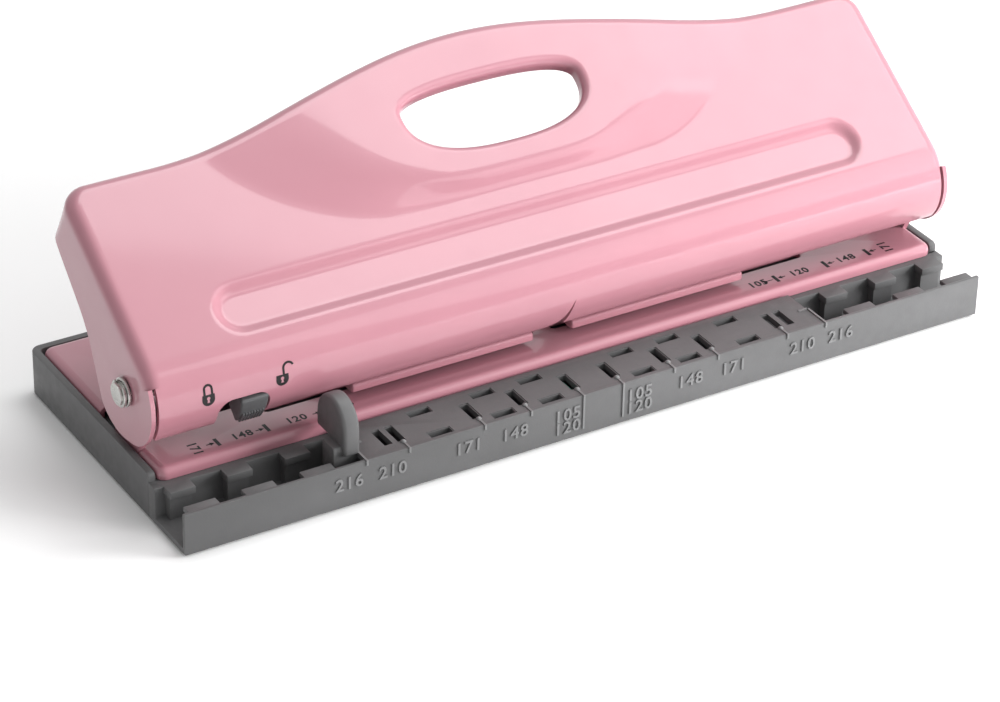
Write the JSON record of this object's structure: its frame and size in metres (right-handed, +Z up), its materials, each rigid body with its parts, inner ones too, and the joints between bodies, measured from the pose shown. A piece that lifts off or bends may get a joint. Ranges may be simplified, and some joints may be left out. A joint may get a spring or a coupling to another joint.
{
  "type": "hole punch",
  "caption": "Adjustable desktop hole punch for ring-binder pages: pink steel lever with a finger hole, two sliding punch heads, page stop and grey chip tray.",
  "frame": {"origin": "on the standing surface, under the middle of the tray", "axes": "+X along the length to the right, +Y from the page side to the back, +Z up"},
  "size_m": [0.2128, 0.0776, 0.0706],
  "materials": {
    "pink_paint": "smooth glossy pale pink enamel over pressed steel",
    "grey_plastic": "fine satin texture, warm mid grey",
    "dark_plastic": "satin, darker grey",
    "bright_steel": "zinc-plated, lightly brushed",
    "black_rubber": "matt black",
    "green_plastic": "satin green indicator"
  },
  "bodies": {
    "tray": {"base_tray": "grey_plastic", "foot_front_left": "black_rubber", "foot_front_right": "black_rubber", "foot_rear_left": "black_rubber", "foot_rear_right": "black_rubber"},
    "frame": {"deck_frame": "pink_paint", "axle": "bright_steel", "axle_washer_left": "bright_steel", "axle_washer_right": "bright_steel", "axle_clip_left": "bright_steel", "axle_clip_right": "bright_steel", "lock_catch": "bright_steel"},
    "handle": {"handle_shell": "pink_paint", "press_rod": "bright_steel", "rod_hanger_left": "bright_steel", "rod_hanger_right": "bright_steel"},
    "lock_slider": {"lock_knob": "dark_plastic", "lock_blade": "bright_steel"},
    "paper_guide": {"guide_fin": "grey_plastic", "guide_tongue": "grey_plastic", "guide_pointer": "green_plastic"},
    "head_left": {"head_cover_left": "pink_paint", "pin_guide_left": "bright_steel", "die_plate_left": "bright_steel", "die_carrier_left": "dark_plastic", "detent_leaf_left": "bright_steel", "cover_screw_left_1": "bright_steel", "cover_screw_left_2": "bright_steel", "pin_spring_left_1": "bright_steel", "pin_spring_left_2": "bright_steel", "pin_spring_left_3": "bright_steel"},
    "pins_left": {"punch_pin_left_1": "bright_steel", "punch_pin_left_2": "bright_steel", "punch_pin_left_3": "bright_steel"},
    "head_right": {"head_cover_right": "pink_paint", "pin_guide_right": "bright_steel", "die_plate_right": "bright_steel", "die_carrier_right": "dark_plastic", "detent_leaf_right": "bright_steel", "cover_screw_right_1": "bright_steel", "cover_screw_right_2": "bright_steel", "pin_spring_right_1": "bright_steel", "pin_spring_right_2": "bright_steel", "pin_spring_right_3": "bright_steel"},
    "pins_right": {"punch_pin_right_1": "bright_steel", "punch_pin_right_2": "bright_steel", "punch_pin_right_3": "bright_steel"}
  },
  "joints": [
    {"name": "tray_release", "type": "slide", "parent": "tray", "child": "frame", "axis": [0, 0, 1], "range_m": [0, 0.03]},
    {"name": "handle_pivot", "type": "hinge", "parent": "frame", "child": "handle", "pos_m": [0, -0.0118, 0.027], "axis": [1, 0, 0], "range_deg": [-26, 0], "stiffness_Nm_per_rad": 0.12, "springref_deg": 68.75},
    {"name": "lock_slide", "type": "slide", "parent": "handle", "child": "lock_slider", "axis": [-1, 0, 0], "range_m": [0, 0.0025]},
    {"name": "head_left_slide", "type": "slide", "parent": "frame", "child": "head_left", "axis": [-1, 0, 0], "range_m": [0, 0.0255]},
    {"name": "head_right_slide", "type": "slide", "parent": "frame", "child": "head_right", "axis": [1, 0, 0], "range_m": [0, 0.0255]},
    {"name": "pins_left_travel", "type": "slide", "parent": "head_left", "child": "pins_left", "axis": [0, 0, -1], "range_m": [0, 0.0046], "deforming": ["pin_spring_left_1", "pin_spring_left_2", "pin_spring_left_3"]},
    {"name": "pins_right_travel", "type": "slide", "parent": "head_right", "child": "pins_right", "axis": [0, 0, -1], "range_m": [0, 0.0046], "deforming": ["pin_spring_right_1", "pin_spring_right_2", "pin_spring_right_3"]},
    {"name": "guide_slide", "type": "slide", "parent": "tray", "child": "paper_guide", "axis": [-1, 0, 0], "range_m": [0, 0.048]}
  ],
  "couplings": [
    {"joint": "pins_left_travel", "follows": "handle_pivot", "m_per_rad": -0.0098},
    {"joint": "pins_right_travel", "follows": "handle_pivot", "m_per_rad": -0.0098}
  ]
}
